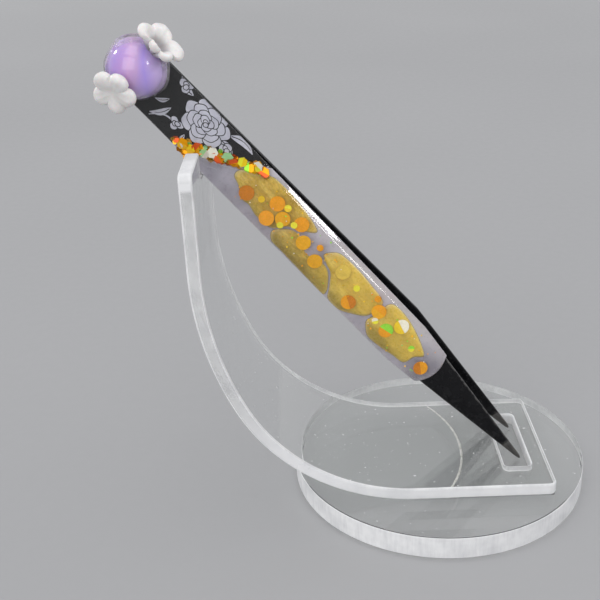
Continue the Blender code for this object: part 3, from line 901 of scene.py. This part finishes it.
LEAVES = (((3.2, -0.6), 236.0, 4.6, 0.75), ((1.7, 0.5), 222.0, 3.0, 0.5),
          ((15.6, 4.2), 6.0, 6.2, 0.85), ((14.9, 2.2), -14.0, 4.6, 0.85),
          ((4.6, 4.6), 168.0, 4.4, 0.8), ((9.0, -2.6), 262.0, 2.8, 0.6))
BUDS = (((2.2, 4.9), 1.5, 0.4), ((6.2, -2.2), 1.5, 2.0), ((17.2, 1.6), 1.5, 1.0))
BUD_ROWS = ((3, 0.5, 0.5), (2, 0.2, 0.3))
ROSE_ROWS = ((7, 0.68, 0.36), (6, 0.46, 0.33), (5, 0.28, 0.26), (4, 0.15, 0.18), (2, 0.06, 0.09))


def print_motifs():
    """A rose, buds and leaves of a plain floral kind, in the order in which they overlap."""
    shares = [i / 12.0 for i in range(13)]
    stem = [(0.9 + 4.6 * u, -4.9 + 2.6 * u + 0.9 * math.sin(math.pi * u)) for u in shares]
    shapes = [(ribbon(stem[::-1], 0.45), 1)]
    for root, degrees, length, width in LEAVES:
        shapes += leaf(root, math.radians(degrees), length, width)
    for bud, size, turn in BUDS:
        shapes += rose(bud, size, turn, BUD_ROWS)
    return shapes + rose((10.4, 2.4), 4.9, 0.35, ROSE_ROWS)


def build_print():
    """Motifs as thin prisms, each a step higher than the one before."""
    prisms, inks = [], []
    most = BLADE_HALF + GEL_OVERHANG - PRINT_INSET
    for level, (outline, ink) in enumerate(print_motifs()):
        kept = []
        for x, z in outline:
            z = max(-most, min(most, z))
            kept.append((min(x, border(z, PRINT_STOP) - PRINT_INSET), z))
        heights = (FILM_TOP - 0.02, FILM_TOP + 0.01 + PRINT_STEP * level)
        prisms.append(skin([[on_blade(x, z, height) for x, z in kept] for height in heights]))
        inks += [ink] * len(prisms[-1][1])
    piece("floral_print", merged(prisms), (print_ground, print_ink), "print_black",
          pick=lambda face: inks[face.index])


# Inside the window and along the border

POOL_HEIGHTS = (0.9, 0.85, 1.0, 0.95)
POOLS = (
    ((22.2, -0.9), (24.3, -1.8), (27.1, -3.4), (29.0, -3.2), (31.8, -3.8), (36.0, -3.3),
     (38.1, -0.6), (40.4, 0.8), (43.5, 3.0), (41.8, 3.9), (36.5, 4.7), (31.0, 4.9), (27.6, 4.5),
     (25.0, 2.7), (22.8, 0.9)),
    ((36.6, -3.4), (38.0, -4.9), (41.4, -5.0), (46.0, -5.1), (51.0, -5.2), (55.2, -5.1),
     (53.9, -2.9), (51.7, -1.0), (49.4, -0.6), (47.0, -1.5), (44.8, -1.6), (43.2, -0.7),
     (41.2, 0.1), (38.8, -0.7)),
    ((48.3, 0.9), (49.0, 2.4), (51.0, 3.6), (56.0, 3.9), (61.0, 3.6), (65.6, 2.9), (65.9, 0.4),
     (65.6, -1.8), (63.4, -3.7), (59.8, -5.2), (56.4, -5.0), (54.4, -3.0), (52.4, -0.9),
     (50.2, -0.1)),
    ((66.4, -2.8), (69.1, -4.7), (73.0, -4.6), (77.0, -4.0), (80.0, -3.4), (80.6, -0.8),
     (81.9, 1.0), (80.0, 2.2), (75.6, 3.6), (71.0, 4.4), (67.6, 4.1), (66.6, 2.4), (66.9, 0.2)),
)

PALETTE = {
    "o": (1.0, 0.42, 0.004),  # orange
    "d": (0.72, 0.24, 0.003),  # deep orange
    "a": (0.98, 0.50, 0.008),  # amber
    "y": (1.0, 0.70, 0.02),  # yellow
    "l": (1.0, 0.95, 0.05),  # lemon
    "g": (0.36, 0.90, 0.06),  # green
    "p": (0.52, 0.95, 0.45),  # pale green
    "b": (0.80, 0.58, 0.09),  # brass
    "t": (1.0, 0.56, 0.03),  # gold
    "r": (0.90, 0.14, 0.03),  # red
    "w": (1.0, 0.97, 0.82),  # warm white
}
# A flake of two tints has one on each half
DISC_TINTS = "d o o a o a a b do oa go wy od".split()
DOT_TINTS = "y l l o l o wl gl".split()
CHIP_TINTS = "ot yt ro pw w rd p or yl og wl or".split()
DUST_TINTS, LOOSE_TINTS = "oaytgw", "oottrrdaypgw"


def build_pools(rings=9):
    """Flat pools with steep rims, tagged with the depth in from the rim."""
    for number, (points, height) in enumerate(zip(POOLS, POOL_HEIGHTS), 1):
        loop = smooth_loop(points)
        centre = sum((Vector(p) for p in points), Vector((0.0, 0.0))) / len(points)
        layers = [[on_blade(p.x, p.y, BACKING_TOP - POOL_SEAT) for p in loop]]
        depth = [0.0] * len(loop)
        for k in range(rings + 1):
            share = max(0.02, math.sin(QUARTER * (1.0 - k / rings)))
            swell = (height - BACKING_TOP) * (1.0 - share**3.2) ** 0.5
            rise = BACKING_TOP + POOL_SEAT + swell
            layers.append([on_blade(*(centre + (p - centre) * share), rise) for p in loop])
            depth += [1.0 - share] * len(loop)
        node = f"gold_pool_{number}"
        made = piece(node + "_amber", skin(layers), (gold_pigment,), "gold_pigment", node,
                     sharp=60.0)
        tag(made, "depth", depth)


def flake(centre, radius, sides, lean, letters, thick=0.07, glow=1.0):
    """Points, faces and face colours of a thin flake that leans by two slopes."""
    x0, z0, h0 = centre
    steps = max(sides, 12)
    part = math.tau / sides
    corners = []
    for i in range(steps):
        turn = math.tau * i / steps
        reach = radius * math.cos(part / 2.0) / math.cos(turn % part - part / 2.0)
        turn += 7.0 * x0
        corners.append((reach * math.cos(turn), reach * math.sin(turn)))
    colours = [[glow * value for value in PALETTE[letter]] for letter in letters]
    verts, faces, tints = [], [], []
    for level in (0.0, thick):
        for dx, dz in corners + [(0.0, 0.0)]:
            height = h0 + level + lean[0] * dx + lean[1] * dz
            verts.append(on_blade(x0 + dx, z0 + dz, height))
    upper = steps + 1
    for i in range(steps):
        j = (i + 1) % steps
        faces += [(j, i, steps), (upper + i, upper + j, upper + steps),
                  (i, j, upper + j, upper + i)]
        tints += [colours[i * len(colours) // steps]] * 3
    return verts, faces, tints


def flakes(name, shapes, film, slot, *nodes):
    """Flakes as one piece."""
    made = piece(name, merged(shape[:2] for shape in shapes), (film,), slot, *nodes,
                 sharp=20.0)
    tint(made, [colour for shape in shapes for colour in shape[2]])


def leaning(generator, most):
    """Random slopes along and across the blade."""
    return generator.uniform(-most, most), generator.uniform(-most, most)


def build_glitter():
    generator = random.Random(11)
    for stem, tints, most, height, radius, sides, slot in (
            ("glitter_disc_{:02d}", DISC_TINTS, 0.12, *DISC_FLAKE, 40, "orange_flake"),
            ("glitter_dot_{}", DOT_TINTS, 0.2, *DOT_FLAKE, 24, "yellow_flake")):
        for i, letters in enumerate(tints, 1):
            node = stem.format(i)
            lean = leaning(generator, most)
            shape = flake((*middle(node), height), radius, sides, lean, letters)
            flakes(node + "_film", [shape], FLAKE, slot, node)
    dust = [flake((35.1, 2.6, 1.7), 0.8, 24, (0.1, 0.1), "ly", 0.06)]
    for _ in range(90):
        x, z = generator.uniform(24.0, 84.0), generator.uniform(-4.2, 4.2)
        lean = leaning(generator, 0.5)
        letter = generator.choice(DUST_TINTS)
        centre = (x, z, generator.uniform(1.2, 1.55))
        dust.append(flake(centre, generator.uniform(0.09, 0.22), 6, lean, letter, 0.03))
    flakes("glitter_dust", dust, FLAKE, "orange_flake")


def build_chips():
    generator = random.Random(5)
    for i, letters in enumerate(CHIP_TINTS, 1):
        node = f"border_chip_{i:02d}"
        lean = leaning(generator, 0.3)
        centre = (*middle(node), CHIP_HEIGHT)
        shape = flake(centre, generator.uniform(1.1, 1.35), 6, lean, letters, 0.08)
        flakes(node + "_film", [shape], CHIP, "holographic_chip", node)
    loose = []
    for _ in range(130):
        z = generator.uniform(-5.6, 4.9)
        x = border(z, generator.uniform(-1.15, 1.25))
        lean = leaning(generator, 0.5)
        letter = generator.choice(LOOSE_TINTS)
        glow = generator.uniform(0.45, 1.0)
        centre = (x, z, generator.uniform(0.5, 0.95))
        loose.append(flake(centre, generator.uniform(0.35, 0.8), 6, lean, letter, 0.05, glow))
    flakes("border_glitter", loose, CHIP, "holographic_chip")


# Pearl and flowers

def pearl_ring(radius, height, uneven=0.0):
    """Ring round the pearl's axis, more or less of a circle."""
    ring = []
    for k, (c, s) in enumerate(circle(PEARL_SEGMENTS)):
        turn = math.tau * k / PEARL_SEGMENTS
        wander = 0.02 * math.sin(3.0 * turn + 0.7) + 0.015 * math.sin(7.0 * turn)
        reach = radius * (1.0 + uneven * wander)
        ring.append(on_blade(PEARL_X + reach * c, PEARL_Z + reach * s, height))
    return ring


def build_pearl(steps=22):
    rings = [pearl_ring(PEARL_RADIUS - 0.4, PEARL_BASE - 0.25)]
    for i in range(steps):
        angle = QUARTER * i / (steps - 1)
        radius = max(0.05, PEARL_RADIUS * math.cos(angle) ** 0.94)
        rings.append(pearl_ring(radius, PEARL_BASE + PEARL_RADIUS * math.sin(angle)))
    piece("pearl_lilac", skin(rings), (pearl_lacquer,), "lilac_pearl", "pearl", sharp=60.0)
    bed = ((-0.5, COAT_TOP - 0.1), (0.0, BED_LOW), (0.02, BED_LOW + 0.4), (-0.25, BED_LOW + 0.9),
           (-0.55, BED_LOW + 1.7), (-0.72, BED_LOW + 2.6), (-0.95, BED_LOW + 3.0))
    rings = [pearl_ring(BED_RADIUS + wider, height, 1.0) for wider, height in bed]
    piece("gel_bed_milky", skin(rings), (milky_gel,), "clear_gel", "gel_bed", sharp=82.0)


UPPER_SHARES = (0.03, 0.1, 0.18, 0.27, 0.37, 0.48, 0.59, 0.70, 0.80, 0.88, 0.94, 0.98, 1.0)
UNDER_SHARES = (0.97, 0.92, 0.84, 0.74, 0.62, 0.48, 0.34, 0.2, 0.06)


def turned(degrees):
    """Direction out of the blade's face, turned upwards, and the one across it."""
    turn = math.radians(degrees)
    return (math.sin(turn) * ACROSS - math.cos(turn) * DEPTH,
            math.cos(turn) * ACROSS + math.sin(turn) * DEPTH)


def build_flower(node, radius, seat, stand_off, face, cup, puff, spin, near, seed):
    """One puffed, lobed sheet, seated by a turn from the pearl and facing by another.

    A cup lifts its rim round a throat greyed by painted shade, and petals near the pearl
    shrink by a share.
    """
    generator = random.Random(seed)
    part = math.tau / PETALS
    headings = [spin + math.tau * k / PETALS for k in range(PETALS)]
    sizes = [generator.uniform(0.93, 1.03) * (1.0 - near * max(0.0, -math.sin(h)))
             for h in headings]
    lifts = [generator.uniform(-0.2, 0.2) for _ in headings]
    away = PEARL_RADIUS + stand_off + FLOWER_HEIGHT / 2.0
    centre = on_blade(PEARL_X, PEARL_Z, PEARL_BASE) + turned(seat)[0] * (away * MM)
    axis, side = turned(face)
    filled = cup < 1.0
    core, dip = (0.36, 0.08) if filled else (0.1, 0.5)
    rings, depth = [], []
    for level, s in enumerate(UPPER_SHARES + UNDER_SHARES):
        upper = level < len(UPPER_SHARES)
        spread = clamp((s - core) / 0.45)
        wall = clamp((s - 0.1) / 0.75)
        throat = clamp((s - 0.3) / 0.35)
        ring = []
        for i in range(FLOWER_SEGMENTS):
            turn = math.tau * i / FLOWER_SEGMENTS
            number = round((turn - spin) / part)
            off = abs(turn - spin - number * part) / (part / 2.0)
            full = max(0.0, math.cos(off * QUARTER)) ** 0.55
            notch = spread * (1.0 - full)
            reach = radius * sizes[number % PETALS] * s * (1.0 - 0.3 * notch)
            plump = puff * math.sqrt(1.0 - s**6 + 1e-6) * (1.0 - 0.5 * notch) * (0.75 + 0.35 * s)
            rise = cup * wall * wall * (3.0 - 2.0 * wall) + lifts[number % PETALS] * s * full
            if upper:
                ridge = 0.16 * s * math.exp(-(off / 0.22) ** 2)
                rise += plump * (1.0 - dip * math.exp(-(s / 0.2) ** 2)) + ridge
                # painted shade: greyer in the throat and in the creases between petals
                depth.append(0.9 if filled else (0.2 + 0.8 * throat) * (0.6 + 0.4 * full))
            else:
                rise -= 0.7 * plump
                # painted shade: greyer towards the middle of the back
                depth.append(0.2 + 0.8 * max(0.0, (s - 0.45) / 0.55))
            flat = ALONG * (reach * math.cos(turn)) + side * (reach * math.sin(turn))
            ring.append(centre + (axis * (rise - cup * 0.45) + flat) * MM)
        rings.append(ring)
    made = piece(node + "_petals", skin(rings), (white_flower,), "white_flower", node, sharp=80.0)
    tag(made, "depth", depth)


# Stage

FLOOR_HALF, FLOOR_HEIGHT = 6.0, -0.0004
AIM = Vector((-0.02, 0.0, 0.05))
# Name, place, width and height in metres, power, and whether the stand and the floor get its light
LAMPS = (("right", (9.0, -0.6, 5.1), 5.0, 0.95, 220.0, False),
         ("side", (8.2, -4.9, 4.0), 1.6, 1.6, 75.0, False),
         ("left", (-7.6, 4.9, 4.9), 1.3, 1.3, 130.0, False),
         ("top", (-1.1, -1.7, 10.8), 9.0, 9.0, 260.0, True),
         ("front", (-3.9, -8.6, 4.6), 9.0, 9.0, 350.0, True))
CAMERA_PLACE, CAMERA_LENS = (-0.029508, -0.197129, 0.138907), 56.638
CAMERA_TURNS = ((0.81484, "Z"), (90.0 - 24.94688, "X"), (-2.54262, "Z"))


def build_floor():
    """Pale floor that fades into the backdrop with distance."""
    f = Finish("pale_floor", True, Specular_IOR_Level=0.2)
    f.feed(Base_Color=f.shade(f.noise(0.004, 1.0), (0.425, 0.425, 0.43), (0.445, 0.445, 0.45)),
           Roughness=f.spread(f.noise(0.3), 0.6, 0.75))
    distance = f.node("VectorMath", f.place, operation="LENGTH").outputs["Value"]
    f.blend(f.span(distance, 400.0, 2600.0), f.node("BsdfTransparent"))
    mesh = bpy.data.meshes.new("floor")
    half, z = FLOOR_HALF, FLOOR_HEIGHT
    mesh.from_pydata([(-half, -half, z), (half, -half, z), (half, half, z), (-half, half, z)], [],
                     [(0, 1, 2, 3)])
    mesh.materials.append(f.material)
    floor = put("floor", mesh)


def build_light():
    """Soft light all round, a backdrop that the camera, gloss and glass see, and the lamps."""
    world = bpy.data.worlds.new("studio")
    sky = Nodes(world)
    light = sky.tree.nodes["Background"]
    sky.fill(light, {"Color": (0.93, 0.94, 0.97), "Strength": 0.72})
    backdrop = sky.node("Background", Color=(0.54, 0.545, 0.55))
    path = sky.node("LightPath").outputs
    seen = sky.math("MAXIMUM", path["Is Camera Ray"], path["Is Glossy Ray"])
    seen = sky.math("MAXIMUM", seen, path["Is Transmission Ray"])
    direct = sky.math("LESS_THAN", path["Diffuse Depth"], 0.5)
    mixed = sky.either(sky.math("MULTIPLY", seen, direct), light.outputs[0], backdrop.outputs[0])
    sky.plug(mixed, sky.tree.nodes["World Output"].inputs["Surface"])
    bpy.context.scene.world = world
    for name, position, wide, tall, power, all_round in LAMPS:
        lamp = assign(bpy.data.lights.new(name, "AREA"), shape="RECTANGLE", size=wide,
                      size_y=tall, energy=power)
        turn = (AIM - Vector(position)).to_track_quat("-Z", "Y").to_euler()
        made = assign(put(name, lamp), location=position, rotation_euler=turn)
        if not all_round:
            made.light_linking.receiver_collection = TWEEZERS


def build_camera():
    """Camera at the photograph's viewing angle."""
    matrix = Matrix.Translation(CAMERA_PLACE)
    for degrees, axis in CAMERA_TURNS:
        matrix = matrix @ Matrix.Rotation(math.radians(degrees), 4, axis)
    camera = assign(bpy.data.cameras.new("camera"), lens=CAMERA_LENS, sensor_width=36.0,
                    clip_start=0.01)
    bpy.context.scene.camera = assign(put("camera", camera), matrix_world=matrix)


build_disc()
build_arm()
build_cement()
build_blade("front_blade_black", FRONT, "front_arm", "front_blade")
build_blade("rear_blade_black", REAR, "rear_arm", "rear_blade")
build_spacer()
build_print_layers()
build_print()
build_window()
build_pools()
build_glitter()
build_chips()
build_pearl()
build_flower("flower_lower", radius=5.0, seat=-42.0, stand_off=0.3, face=-28.0, cup=0.4, puff=1.6,
             spin=0.55, near=0.0, seed=4)
build_flower("flower_upper", radius=5.9, seat=65.0, stand_off=-0.3, face=70.0, cup=2.0, puff=1.15,
             spin=0.66, near=0.5, seed=9)
build_floor()
build_light()
build_camera()

bpy.context.scene.view_settings.view_transform = "Standard"
